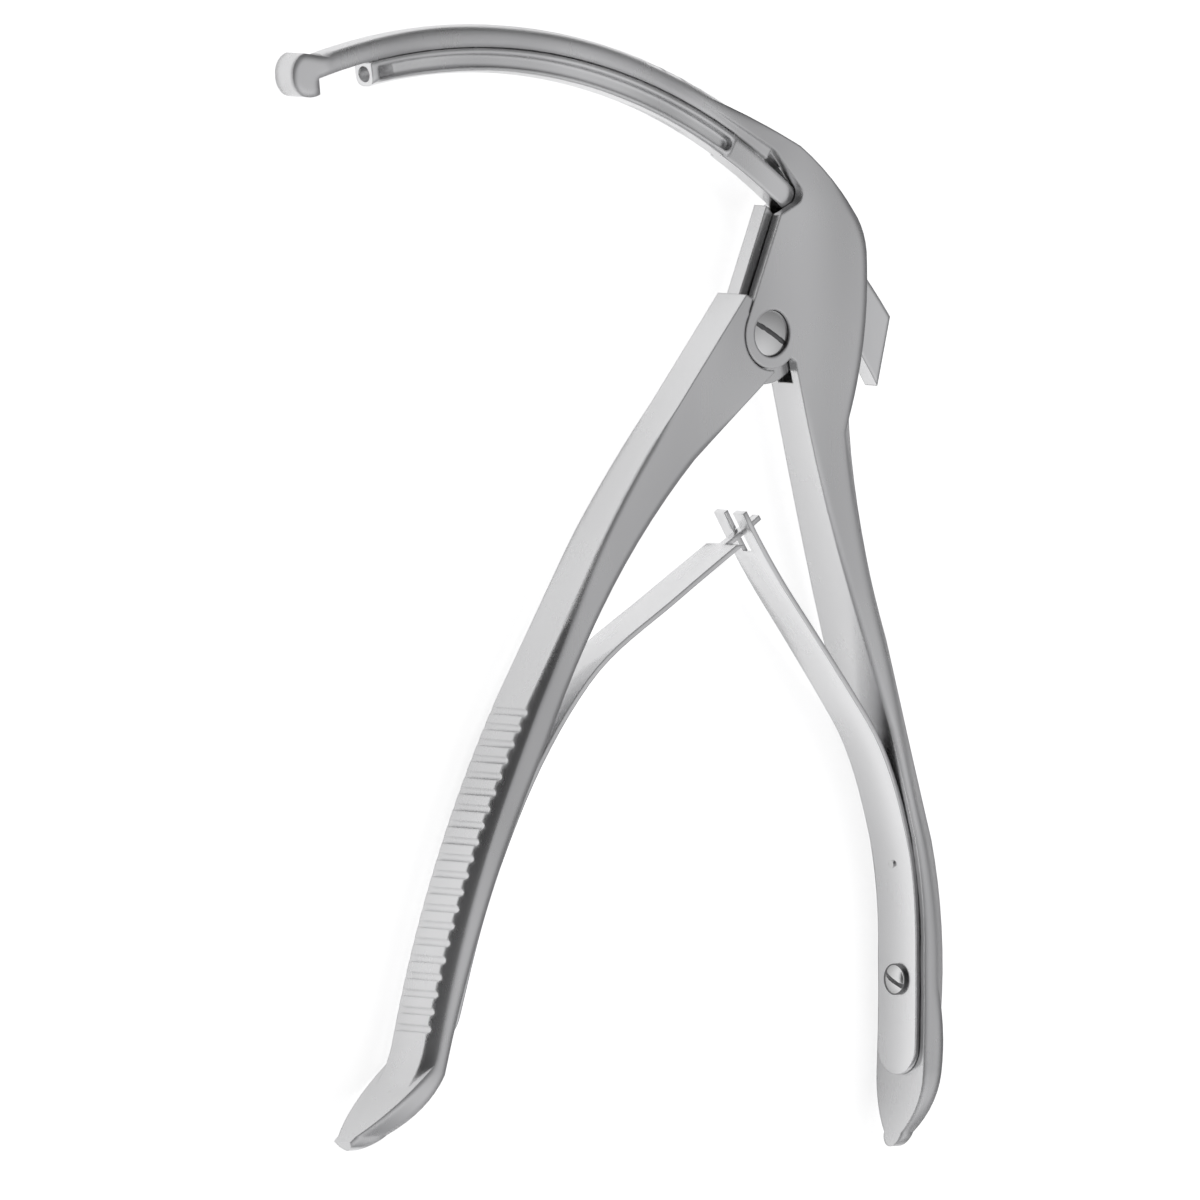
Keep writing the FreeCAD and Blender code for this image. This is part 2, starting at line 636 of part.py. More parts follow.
def cut_serrations(body):
    """Grooves across the working handle's outer face, repeated along its curve."""
    sketch = new_sketch(body, "SerrationOutline", "XY_Plane", ("grip_centre_x", "grip_centre_y", "0"))
    reach = "(grip_arc_radius + serration_radius - serration_depth)"
    circle(sketch, f"{reach} * cos(serration_first_angle * 1deg)", f"{reach} * sin(serration_first_angle * 1deg)",
           "serration_radius")
    groove = across(body, "Pocket", sketch, "2 * grip_width")
    pattern = body.newObject("PartDesign::PolarPattern", "Serrations")
    pattern.Originals = [groove]
    pattern.Axis = (sketch, ["N_Axis"])
    pattern.setExpression("Angle", bound("serration_span"))
    pattern.Occurrences = SERRATIONS
    body.Tip = pattern
    doc.recompute()


def leaf_point(side, number, aside):
    """A point of a leaf spring beside one of its stations; aside is 0 on the face, 1 on the back."""
    sign = {"left": 1, "right": -1}[side] * aside
    slope = f"({side}_leaf_slope_{number} * 1deg)"
    return (f"{side}_leaf_x_{number} - {sign} * leaf_thickness * sin{slope}",
            f"{side}_leaf_y_{number} + {sign} * leaf_thickness * cos{slope}")


def leaf_bend(side, first, second, aside):
    """Radius of the bend between two stations, from the way the slope changes."""
    (x_1, y_1), (x_2, y_2) = leaf_point(side, first, aside), leaf_point(side, second, aside)
    change = f"({side}_leaf_slope_{second} - {side}_leaf_slope_{first})"
    return f"sqrt((({x_1}) - ({x_2}))^2 + (({y_1}) - ({y_2}))^2) / (2 * sin(abs({change}) / 2 * 1deg))"


def build_leaf(side, leaf):
    """A leaf spring: a bent strip that narrows from its root to its tip."""
    body = new_body(f"{side}_leaf_spring")
    last = len(leaf)
    corners = []
    for number in range(1, last):
        turn = "left" if leaf[number][2] > leaf[number - 1][2] else "right"
        corners.append(leaf_point(side, number, 0) + (leaf_bend(side, number, number + 1, 0), turn))
    corners.append(leaf_point(side, last, 0))
    for number in range(last, 1, -1):
        turn = "right" if leaf[number - 1][2] > leaf[number - 2][2] else "left"
        corners.append(leaf_point(side, number, 1) + (leaf_bend(side, number, number - 1, 1), turn))
    corners.append(leaf_point(side, 1, 1))
    strip = draw(new_sketch(body, side.title() + "Strip"), corners)
    across(body, "Pad", strip, "leaf_root_width")
    taper_sides(body, side.title() + "Sides", [
        ("interlock_y", "leaf_tip_width / 2"), ("grip_y", "leaf_root_width / 2"),
        (f"{side}_leaf_y_1 + leaf_root_width / 2", "leaf_root_width / 2", "leaf_root_width / 2", "left"),
        (f"{side}_leaf_y_1", "0"), (f"{side}_leaf_y_1 - leaf_thickness", "0")])
    drill_leaf_holes(body, side, "pin_gap")
    return body


def build_left_leaf():
    """Leaf spring on the working handle; its narrow end passes through the other leaf's fork."""
    body = build_leaf("left", LEFT_LEAF)
    sketch = new_sketch(body, "TongueSides", "YZ_Plane")
    for sign in ("", "-"):
        draw(sketch, box_corners("interlock_y - 2.5", "interlock_y + 20", f"{sign}leaf_tongue_width / 2",
                                 f"{sign}grip_width"))
    across(body, "Pocket", sketch, "all_through")
    return body


def build_right_leaf():
    """Leaf spring on the fixed handle; its end is forked."""
    body = build_leaf("right", RIGHT_LEAF)
    fork = draw(new_sketch(body, "ForkOutline", "YZ_Plane"), box_corners(
        "interlock_y - 5", "interlock_y + 20", "-leaf_fork_width / 2", "leaf_fork_width / 2"))
    across(body, "Pocket", fork, "all_through")
    return body


def build_fastener(side, kind, corners):
    """A small turned piece whose own X runs into the handle, starting at the leaf spring's face."""
    body = new_body(f"{side}_spring_{kind}")
    body.setExpression(".Placement.Base.x", bound(f"pivot_x + {side}_{kind}_x"))
    body.setExpression(".Placement.Base.y", bound(f"pivot_y + {side}_{kind}_y"))
    body.setExpression(".Placement.Rotation.Angle", bound(f"{side}_face_angle"))
    profile = draw(new_sketch(body, f"{side.title()}{kind.title()}Profile"), corners)
    turned = body.newObject("PartDesign::Revolution", profile.Name + "Turn")
    turned.Profile = profile
    turned.ReferenceAxis = (profile, ["H_Axis"])
    turned.Angle = 360
    doc.recompute()
    return body


def build_spring_screw(side):
    """Screw with a bevelled, slotted head that stands on the leaf spring."""
    body = build_fastener(side, "screw", [
        ("leaf_screw_length", "0"), ("leaf_screw_length", "leaf_screw_radius"), ("0", "leaf_screw_radius"),
        ("0", "leaf_head_radius"),
        ("leaf_head_bevel - leaf_head_height", "leaf_head_radius"),
        ("-leaf_head_height", "leaf_head_radius - leaf_head_bevel"), ("-leaf_head_height", "0")])
    slot = new_sketch(body, side.title() + "ScrewSlot")
    draw(slot, box_corners("-2 * leaf_head_height", "leaf_slot_depth - leaf_head_height",
                           "-leaf_slot_width / 2", "leaf_slot_width / 2"))
    across(body, "Pocket", slot, "grip_width")
    return body


def build_spring_pin(side):
    """Short pin that keeps the leaf spring from turning on its screw."""
    return build_fastener(side, "pin", box_corners("0", "leaf_pin_length", "0", "leaf_pin_radius"))


pieces = [build_frame(), build_working_handle(), build_slide(), build_pivot_screw(),
          build_left_leaf(), build_right_leaf()]
for side in ("left", "right"):
    pieces.append(build_spring_screw(side))
    pieces.append(build_spring_pin(side))
doc.recompute()

for item in doc.Objects:
    if "Invalid" in item.State or "Error" in item.State:
        raise RuntimeError(f"{item.Name} did not build: {item.State}")
os.makedirs("parts", exist_ok=True)
for piece in pieces:
    if piece.Shape.isNull() or not piece.Shape.isValid():
        raise RuntimeError(f"{piece.Label} is not a sound shape")
    piece.Shape.exportStep(f"parts/{piece.Label}.step")
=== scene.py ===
import math

import bpy
from mathutils import Matrix, Vector


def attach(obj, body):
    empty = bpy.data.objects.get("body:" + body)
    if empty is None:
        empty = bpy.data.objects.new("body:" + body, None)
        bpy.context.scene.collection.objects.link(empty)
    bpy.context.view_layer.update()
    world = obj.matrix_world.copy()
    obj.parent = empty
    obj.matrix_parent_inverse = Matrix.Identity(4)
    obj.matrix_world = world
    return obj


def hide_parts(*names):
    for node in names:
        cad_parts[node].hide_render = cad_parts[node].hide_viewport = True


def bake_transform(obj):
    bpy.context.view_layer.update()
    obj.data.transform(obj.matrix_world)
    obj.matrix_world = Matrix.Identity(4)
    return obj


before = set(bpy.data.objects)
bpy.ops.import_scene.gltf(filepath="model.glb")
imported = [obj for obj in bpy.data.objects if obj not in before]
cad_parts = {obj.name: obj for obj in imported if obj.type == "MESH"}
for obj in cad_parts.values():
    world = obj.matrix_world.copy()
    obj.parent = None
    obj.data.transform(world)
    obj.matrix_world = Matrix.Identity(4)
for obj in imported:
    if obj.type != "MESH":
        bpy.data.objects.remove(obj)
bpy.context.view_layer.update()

MM = 0.001
PIVOT = Vector((37.36, 46.25, 6.5)) * MM

# Angle of view: round from the flat side, and up towards the jaw. The lengths are in metres, and the
# camera's sensor is in millimetres.
VIEW_ROUND = math.radians(41.4)
VIEW_UP = math.radians(3.8)
VIEW_FIELD = 0.2208
VIEW_DISTANCE = 9.0
VIEW_CENTRE_RIGHT = -0.02907
VIEW_CENTRE_UP = -0.04924
SENSOR_WIDTH = 36.0

# Leaf springs in millimetres about the pivot, from root to tip: a point of the face turned to the other
# handle, and the slope there in degrees.
LEFT_LEAF = [(-79.3, -127.5, 70.0), (-71.6, -104.6, 68.5), (-63.2, -86.6, 61.0), (-45.3, -62.5, 45.0),
             (-23.7, -48.4, 31.0), (-5.7, -37.9, 30.0), (0.0, -34.4, 33.0)]
RIGHT_LEAF = [(33.9, -138.6, 86.0), (34.35, -117.0, 90.0), (32.2, -95.0, 105.0), (22.4, -72.4, 127.0),
              (4.4, -49.6, 129.0), (-7.2, -33.0, 122.0)]
ROOT_STEPS = 22
LEAF_STEPS = 8
LEAF_THICKNESS = 1.0
LEAF_THIN_SHARE = 0.9
LEAF_THIN_FROM_Y = -95.0
LEAF_END_WIDTH = 0.2
LEAF_ROOT_WIDTH = 10.4
LEAF_TIP_WIDTH = 8.2
LEAF_EDGE = 0.2
LEAF_NARROWS_FROM_Y = -88.0

# Where the leaves cross: the tongue of the left one stands in the fork of the right one.
INTERLOCK_Y = -37.3
LEAF_TONGUE_WIDTH = 1.8
LEAF_FORK_WIDTH = 2.4
TONGUE_DEPTH = 1.4
FORK_DEPTH = 2.9
CUTTER_REACH_X = 40.0
CUTTER_REACH_Y = 20.0
CUTTER_REACH_Z = 13.0

# Screws in millimetres. The slot is as deep as it is wide, and its turn is in degrees.
JOINT_SCREW = {"radius": 4.2, "height": 1.3, "dome": 0.55, "slot": 0.9, "slot_turn": -30,
               "shank_radius": 2.5, "shank_length": 6.7}
LEAF_SCREW = {"radius": 2.9, "height": 1.5, "dome": 1.0, "slot": 0.8, "slot_turn": 62,
              "shank_radius": 1.5, "shank_length": 4.4}
JOINT_SCREW_SEAT = (0.0, 0.0, 2.7)
LEFT_SCREW_SEAT = (-76.06, -118.0, 0.0)
RIGHT_SCREW_SEAT = (34.35, -121.0, 0.0)
LEFT_GRIP_SLOPE = math.radians(69.2)
HEAD_SIDES = 64
SHANK_SIDES = 32
DOME_RINGS = 8
DOME_RING_ANGLE = math.radians(10.5)
HALF_OVERLAP = 0.02
SHANK_OVERLAP = 0.1

# An edge shades smooth up to the first angle, and a leaf's edge is rounded past the second. Faces are
# picked by the cosine of their direction, and by their level within a part of a metre.
SMOOTH_ANGLE = math.radians(35)
EDGE_ANGLE = math.radians(30)
SAME_DIRECTION = 0.99
SAME_LEVEL = 1e-6

# Bands where the edges are fully rounded, in metres: along which axis, from where, to where, and how softly.
GRIP_BAND = (1, -0.120, 0.038, 0.040)
ARM_BAND = (1, 0.082, 0.120, 0.012)
BACK_BAND = (0, 0.052, 0.090, 0.006)
HOOK_BAND = (0, -0.090, -0.066, 0.003)
UPPER_HANDLE_BAND = (1, -0.012, 0.034, 0.008)
WHOLE_BAND = (1, -0.200, 0.200, 0.010)

# Steel: the scales of its noise per metre, the polishing waves' height in metres, and how much each shows.
LENGTHWISE_GRAIN = (700, 25, 700)
CROSSWISE_GRAIN = (60, 60, 900)
CLOUD_SCALE = 60.0
WAVE_SCALE = (46, 15, 46)
WAVE_HEIGHT = 0.0034
WAVE_CONTRAST = 2.4
CLOUD_ROUGHNESS = 0.12
GRAIN_ROUGHNESS = 0.06
FLAT_SIDE_FROM = 0.5
FLAT_SIDE_FADE = 0.3
FORGED = (0.82, 0.82, 0.825)
SLIDE_COLOUR = (0.88, 0.88, 0.885)
SPRING_COLOUR = (0.86, 0.86, 0.865)
SCREW_COLOUR = (0.82, 0.82, 0.82)
# Painted shade: the slot's floor and the foot of each screw head's rim are painted dark, standing in for the
# shade in the recess.
SLOT_SHADE_COLOUR = (0.22, 0.22, 0.225)

# Floor: its brightness to the camera, and what the polished faces see of it, which fades to the right.
# Each fade, here and in the sky, gives from where, to where, the first value and the last one.
FLOOR_SIZE = 6.0
FLOOR_LEVEL = -0.0002
FLOOR_COLOUR = (0.8, 0.8, 0.8, 1)
FLOOR_SEEN = 0.72
FLOOR_FADE = (0.055, 0.095, 0.55, 0.10)

# Sky: grey by height, brighter behind the grips than past the jaw, and dimmer round the camera.
SKY_BY_HEIGHT = [(0.0, (0.14, 0.14, 0.145)), (0.30, (0.26, 0.26, 0.265)), (0.72, (0.47, 0.47, 0.475)),
                 (1.0, (0.62, 0.62, 0.63))]
SKY_ENDWISE = (-0.45, 0.55, 1.55, 0.34)
SKY_ROUND_CAMERA = (0.45, 0.92, 1.0, 0.34)
WHITE = (1, 1, 1, 1)

# One large lamp, in metres from the pivot, and its power in watts.
LAMP_PLACE = Vector((0.5, 1.1, 1.5))
LAMP_SIZE = 1.4
LAMP_POWER = 9


class Socket:
    """One output of a shader tree, with arithmetic that adds its Math nodes."""

    def __init__(self, tree, output):
        self.tree = tree
        self.output = output

    def join(self, kind, other, swapped=False):
        values = (other, self) if swapped else (self, other)
        return node(self.tree, "Math", {"operation": kind}, dict(enumerate(values)))

    def __add__(self, other):
        return self.join("ADD", other)

    def __radd__(self, other):
        return self.join("ADD", other, swapped=True)

    def __sub__(self, other):
        return self.join("SUBTRACT", other)

    def __rsub__(self, other):
        return self.join("SUBTRACT", other, swapped=True)

    def __mul__(self, other):
        return self.join("MULTIPLY", other)

    def __rmul__(self, other):
        return self.join("MULTIPLY", other, swapped=True)

    def __truediv__(self, other):
        return self.join("DIVIDE", other)

    def __rtruediv__(self, other):
        return self.join("DIVIDE", other, swapped=True)


def node(tree, kind, settings=None, inputs=None, output=0):
    """Add one shader node: first its settings, then the values or links of its sockets."""
    made = tree.nodes.new("ShaderNode" + kind)
    for name, value in (settings or {}).items():
        if name == "stops":
            ramp = made.color_ramp.elements
            while len(ramp) < len(value):
                ramp.new(0.5)
            for stop, (place, colour) in zip(ramp, value):
                stop.position = place
                stop.color = (*colour, 1)
        else:
            setattr(made, name, value)
    for name, value in (inputs or {}).items():
        if isinstance(value, Socket):
            tree.links.new(value.output, made.inputs[name])
        else:
            made.inputs[name].default_value = value
    return Socket(tree, made.outputs[output]) if made.outputs else None


def clamp(value):
    return node(value.tree, "Clamp", {}, {0: value})


def absolute(value):
    return node(value.tree, "Math", {"operation": "ABSOLUTE"}, {0: value})


def largest(first, second):
    return first.join("MAXIMUM", second)


def dot(vector, direction):
    return node(vector.tree, "VectorMath", {"operation": "DOT_PRODUCT"}, {0: vector, 1: direction}, "Value")


def fade(value, start, end, first, last):
    """A value that goes from the first to the last as the given one goes from the start to the end."""
    return node(value.tree, "MapRange", {}, {0: value, 1: start, 2: end, 3: first, 4: last})


def blend_colours(tree, factor, first, second):
    return node(tree, "Mix", {"data_type": "RGBA"}, {0: factor, 6: first, 7: second}, 2)


def blend_vectors(tree, factor, first, second):
    return node(tree, "Mix", {"data_type": "VECTOR"}, {0: factor, 4: first, 5: second}, 1)


def band(place, axis, low, high, softness):
    """A mask that is full between two levels along an axis, and fades in and out over a short way."""
    along = node(place.tree, "SeparateXYZ", {}, {0: place}, axis)
    middle, half = (low + high) / 2, (high - low) / 2
    return clamp((half - absolute(along - middle)) / softness)


def empty_material(name):
    """A new material and its shader tree, with nothing in it."""
    material = bpy.data.materials.new(name)
    material.use_nodes = True
    material.node_tree.nodes.clear()
    return material, material.node_tree


def rounded_normal(tree, place, edge, full_edge, side_bands, all_bands):
    """The normal with its edges rounded: a little everywhere, and fully in the bands.

    Side bands hold on the flat sides only, and the others all over.
    """
    slight = node(tree, "Bevel", {"samples": 4}, {"Radius": edge * MM})
    if full_edge is None:
        return slight
    upright = dot(node(tree, "NewGeometry", output="True Normal"), (0, 0, 1))
    flat_side = clamp((absolute(upright) - FLAT_SIDE_FROM) / FLAT_SIDE_FADE)
    mask = 0.0
    for where in side_bands:
        mask = largest(band(place, *where) * flat_side, mask)
    for where in all_bands:
        mask = largest(band(place, *where), mask)
    full = node(tree, "Bevel", {"samples": 6}, {"Radius": full_edge * MM})
    return blend_vectors(tree, mask, slight, full)


def steel(name, colour, roughness, edge, full_edge=None, side_bands=(), all_bands=(),
          grain=LENGTHWISE_GRAIN, smudge=0.12):
    """Satin steel: faint drawn grain, the slow waves of hand polishing, and edges rounded in millimetres."""
    material, tree = empty_material(name)
    place = node(tree, "TexCoord", output="Object")
    grain_place = node(tree, "Mapping", {}, {"Vector": place, "Scale": grain})
    drawn = node(tree, "TexNoise", {}, {"Vector": grain_place, "Scale": 1.0, "Detail": 3.0, "Roughness": 0.6})
    cloud = node(tree, "TexNoise", {}, {"Vector": place, "Scale": CLOUD_SCALE, "Detail": 2.0,
                                        "Roughness": 0.5})
    wave_place = node(tree, "Mapping", {}, {"Vector": place, "Scale": WAVE_SCALE})
    waves = node(tree, "TexNoise", {}, {"Vector": wave_place, "Scale": 1.0, "Detail": 0.0})
    darker = tuple(part * (1 - smudge) for part in colour)
    tone = clamp(0.5 + (waves - 0.5) * WAVE_CONTRAST)
    base = blend_colours(tree, tone, (*darker, 1), (*colour, 1))
    rough = clamp(roughness + (cloud - 0.5) * CLOUD_ROUGHNESS + (drawn - 0.5) * GRAIN_ROUGHNESS)
    rounded = rounded_normal(tree, place, edge, full_edge, side_bands, all_bands)
    polish = node(tree, "Bump", {}, {"Strength": 1.0, "Distance": WAVE_HEIGHT, "Height": waves,
                                     "Normal": rounded})
    shader = node(tree, "BsdfPrincipled", {}, {"Base Color": base, "Roughness": rough, "Normal": polish,
                                               "Metallic": 1.0})
    node(tree, "OutputMaterial", {}, {0: shader})
    return material


def finish_with(piece, material):
    """Put one material on a piece."""
    piece.data.materials.clear()
    piece.data.materials.append(material)


def about_pivot(x, y, z):
    """A place given in millimetres about the pivot, in metres in the part's frame."""
    return PIVOT + Vector((x, y, z)) * MM


def alone(piece=None):
    """Deselect everything, then pick one piece as active."""
    bpy.ops.object.select_all(action="DESELECT")
    if piece is not None:
        piece.select_set(True)
        bpy.context.view_layer.objects.active = piece


def settle(piece):
    """Bring a finished piece's object to the origin, with its place in its mesh."""
    alone(piece)
    bpy.ops.object.transform_apply(location=True, rotation=True, scale=True)


def apply_modifier(piece, kind, name, **settings):
    """Add one modifier to a piece and apply it."""
    alone(piece)
    modifier = piece.modifiers.new(name, kind)
    for key, value in settings.items():
        setattr(modifier, key, value)
    bpy.ops.object.modifier_apply(modifier=modifier.name)


def add_box(name, low, high):
    """A plain box between two corners, used only to cut other pieces."""
    alone()
    bpy.ops.mesh.primitive_cube_add(size=1, location=(low + high) / 2)
    box = bpy.context.object
    box.name = name
    box.scale = high - low
    settle(box)
    return box


def cut_away(piece, cutter):
    """Cut one piece with another, which is then removed."""
    apply_modifier(piece, "BOOLEAN", "Cut", operation="DIFFERENCE", solver="EXACT", object=cutter)
    bpy.data.objects.remove(cutter, do_unlink=True)


def spread(stations):
    """Finer stations along a leaf, on a smooth line through the given ones, closest at its round root."""
    fine = []
    for number, ((x0, y0, s0), (x1, y1, s1)) in enumerate(zip(stations, stations[1:])):
        span = math.hypot(x1 - x0, y1 - y0)
        a0, a1 = math.radians(s0), math.radians(s1)
        at_root = number == 0
        steps = ROOT_STEPS if at_root else LEAF_STEPS
        for step in range(steps):
            t = (step / steps) ** (2 if at_root else 1)
            start, leaving = 2*t**3 - 3*t**2 + 1, t**3 - 2*t**2 + t
            end, arriving = 3*t**2 - 2*t**3, t**3 - t**2
            x = start*x0 + leaving*span*math.cos(a0) + end*x1 + arriving*span*math.cos(a1)
            y = start*y0 + leaving*span*math.sin(a0) + end*y1 + arriving*span*math.sin(a1)
            fine.append((x, y, s0 + (s1 - s0) * t))
    return fine + [stations[-1]]


def leaf_width(y, root_y):
    """Full width of a leaf at a height about the pivot: round at its root, then narrowing."""
    above = y - root_y
    half = LEAF_ROOT_WIDTH / 2
    if above < half:
        return 2 * math.sqrt(max(half ** 2 - (half - above) ** 2, (LEAF_END_WIDTH / 2) ** 2))
    share = min(max((y - LEAF_NARROWS_FROM_Y) / (INTERLOCK_Y - LEAF_NARROWS_FROM_Y), 0), 1)
    return LEAF_ROOT_WIDTH + (LEAF_TIP_WIDTH - LEAF_ROOT_WIDTH) * share


def leaf_sections(stations, back_side):
    """The sections that a leaf is drawn through: centre, slope, width and thickness."""
    sections = []
    for x, y, slope in spread(stations):
        angle = math.radians(slope)
        thick = LEAF_THICKNESS * (1.0 if y < LEAF_THIN_FROM_Y else LEAF_THIN_SHARE)
        aside = back_side * thick / 2
        centre = about_pivot(x - aside * math.sin(angle), y + aside * math.cos(angle), 0)
        sections.append((centre, angle, leaf_width(y, stations[0][1]), thick))
    return sections


def make_leaf(name, stations, back_side):
    """A leaf spring drawn out from its root section, station by station."""
    sections = leaf_sections(stations, back_side)
    centre, angle, width, thick = sections[0]
    alone()
    bpy.ops.mesh.primitive_plane_add(size=1, location=(0, 0, 0))
    leaf = bpy.context.object
    leaf.name = name
    leaf.scale = (width * MM, thick * MM, 1)
    leaf.rotation_euler = (0, math.radians(90), 0)
    settle(leaf)
    leaf.rotation_euler = (0, 0, angle)
    leaf.location = centre
    settle(leaf)
    bpy.ops.object.mode_set(mode="EDIT")
    bpy.ops.mesh.select_mode(type="FACE")
    bpy.ops.mesh.select_all(action="SELECT")
    for before, after in zip(sections, sections[1:]):
        bpy.ops.mesh.extrude_region_move(TRANSFORM_OT_translate={"value": after[0] - before[0]})
        bpy.ops.transform.rotate(value=before[1] - after[1], orient_axis="Z", center_override=after[0])
        bpy.ops.transform.resize(value=(1, 1, after[2] / before[2]), center_override=after[0])
    bpy.ops.mesh.select_all(action="SELECT")
    bpy.ops.mesh.normals_make_consistent(inside=False)
    bpy.ops.object.mode_set(mode="OBJECT")
    return leaf


def cut_tongue(leaf):
    """Take both sides off a leaf's tip, so that a narrow tongue is left."""
    half = LEAF_TONGUE_WIDTH / 2
    for low_z, high_z in ((half, CUTTER_REACH_Z), (-CUTTER_REACH_Z, -half)):
        cut_away(leaf, add_box("tongue_side",
                               about_pivot(-CUTTER_REACH_X, INTERLOCK_Y - TONGUE_DEPTH, low_z),
                               about_pivot(CUTTER_REACH_X, INTERLOCK_Y + CUTTER_REACH_Y, high_z)))


def cut_fork(leaf):
    """Take the middle out of a leaf's tip, so that two prongs are left."""
    half = LEAF_FORK_WIDTH / 2
    cut_away(leaf, add_box("fork_cutter",
                           about_pivot(-CUTTER_REACH_X, INTERLOCK_Y - FORK_DEPTH, -half),
                           about_pivot(CUTTER_REACH_X, INTERLOCK_Y + CUTTER_REACH_Y, half)))


def round_leaf_edges(leaf):
    """Round a leaf's edges a little, and shade its faces smooth."""
    apply_modifier(leaf, "BEVEL", "Edges", width=LEAF_EDGE * MM, segments=2, limit_method="ANGLE",
                   angle_limit=EDGE_ANGLE, harden_normals=False)
    alone(leaf)
    bpy.ops.object.shade_smooth_by_angle(angle=SMOOTH_ANGLE)


def pick_faces(piece, normal, level):
    """In edit mode, pick only the faces that look one way at one level along it."""
    bpy.ops.object.mode_set(mode="EDIT")
    bpy.ops.mesh.select_mode(type="FACE")
    bpy.ops.mesh.select_all(action="DESELECT")
    bpy.ops.object.mode_set(mode="OBJECT")
    for face in piece.data.polygons:
        looks_there = face.normal.dot(normal) > SAME_DIRECTION
        face.select = looks_there and abs(face.center.dot(normal) - level) < SAME_LEVEL
    bpy.ops.object.mode_set(mode="EDIT")


def keep_side(piece, place, normal):
    """Slice a piece with a plane, keep what lies on the normal's side and close the cut."""
    alone(piece)
    bpy.ops.object.mode_set(mode="EDIT")
    bpy.ops.mesh.select_all(action="SELECT")
    bpy.ops.mesh.bisect(plane_co=place, plane_no=normal, use_fill=True, clear_inner=True)
    bpy.ops.object.mode_set(mode="OBJECT")


def add_round(name, radius, low, high, sides=HEAD_SIDES):
    """A plain cylinder that stands on Z between two levels, in millimetres."""
    alone()
    bpy.ops.mesh.primitive_cylinder_add(vertices=sides, radius=radius * MM, depth=(high - low) * MM,
                                        location=(0, 0, (low + high) / 2 * MM))
    cylinder = bpy.context.object
    cylinder.name = name
    settle(cylinder)
    return cylinder


def add_dome(name, radius, height, dome):
    """A screw's head before it is slotted: a short cylinder whose top rises in rings."""
    rim = height - dome
    head = add_round(name, radius, 0, rim)
    pick_faces(head, Vector((0, 0, 1)), rim * MM)
    ball = (radius ** 2 + dome ** 2) / (2 * dome)
    reach, level = radius, 0.0
    for ring in range(1, DOME_RINGS + 1):
        nearer = radius * math.cos(ring * DOME_RING_ANGLE)
        higher = math.sqrt(ball ** 2 - nearer ** 2) - (ball - dome)
        bpy.ops.mesh.extrude_region_move(TRANSFORM_OT_translate={"value": (0, 0, (higher - level) * MM)})
        bpy.ops.transform.resize(value=(nearer / reach, nearer / reach, 1), center_override=(0, 0, 0))
        reach, level = nearer, higher
    bpy.ops.object.mode_set(mode="OBJECT")
    return head


def make_screw(name, measures, seat, axis):
    """A slotted screw with a domed head, which stands on its seat along its axis.

    The head is two halves of a dome with the slot between them, over the slot's floor. That floor and the
    foot of the head's rim are painted dark, as painted shade.
    """
    radius, height, slot = measures["radius"], measures["height"], measures["slot"]
    floor_level = height - slot
    parts = []
    for side in (1, -1):
        half = add_dome(name, radius, height, measures["dome"])
        keep_side(half, (0, side * slot / 2 * MM, 0), (0, side, 0))
        keep_side(half, (0, 0, (floor_level - HALF_OVERLAP) * MM), (0, 0, 1))
        finish_with(half, screw_polish)
        parts.append(half)
    parts.append(add_round("head_floor", radius, 0, floor_level))
    # Painted shade: the slot's floor and the foot of the head's rim are painted dark.
    finish_with(parts[-1], painted_slot_shade)
    parts.append(add_round("shank", measures["shank_radius"], -measures["shank_length"], SHANK_OVERLAP,
                           SHANK_SIDES))
    finish_with(parts[-1], screw_polish)
    alone(parts[0])
    for part in parts:
        part.select_set(True)
    bpy.ops.object.join()
    screw = bpy.context.object
    bpy.ops.object.shade_smooth_by_angle(angle=SMOOTH_ANGLE)
    slot_turn = Matrix.Rotation(math.radians(measures["slot_turn"]), 3, "Z")
    screw.rotation_euler = (Vector(axis).to_track_quat("Z", "Y").to_matrix() @ slot_turn).to_euler()
    screw.location = about_pivot(*seat)
    settle(screw)
    return screw


def add_camera(toward):
    """The camera at the photograph's angle, far off with a long lens."""
    right = Vector((math.cos(VIEW_ROUND), 0, math.sin(VIEW_ROUND)))
    up = toward.cross(right)
    target = PIVOT + right * VIEW_CENTRE_RIGHT + up * VIEW_CENTRE_UP
    data = bpy.data.cameras.new("camera")
    camera = bpy.data.objects.new("camera", data)
    bpy.context.collection.objects.link(camera)
    data.sensor_width = SENSOR_WIDTH
    data.lens = SENSOR_WIDTH * VIEW_DISTANCE / VIEW_FIELD
    camera.location = target + toward * VIEW_DISTANCE
    camera.rotation_euler = Matrix((right, up, toward)).transposed().to_euler()
    bpy.context.scene.camera = camera


def make_floor():
    """A pale floor that keeps the object's shadow, and that polished faces see dimmer on the right."""
    alone()
    bpy.ops.mesh.primitive_plane_add(size=FLOOR_SIZE, location=(0, 0, FLOOR_LEVEL))
    floor = bpy.context.object
    floor.name = "floor"
    paper, tree = empty_material("paper")
    seen = node(tree, "LightPath", output="Is Camera Ray")
    mirrored = node(tree, "LightPath", output="Is Glossy Ray")
    rightwards = dot(node(tree, "TexCoord", output="Object"), (1, 0, 0))
    glow = clamp(seen * FLOOR_SEEN + mirrored * fade(rightwards, *FLOOR_FADE))
    matte = node(tree, "BsdfDiffuse", {}, {"Color": FLOOR_COLOUR})
    lit = node(tree, "Emission", {}, {"Color": WHITE, "Strength": glow})
    both = node(tree, "AddShader", {}, {0: matte, 1: lit})
    node(tree, "OutputMaterial", {}, {0: both})
    finish_with(floor, paper)
    return floor


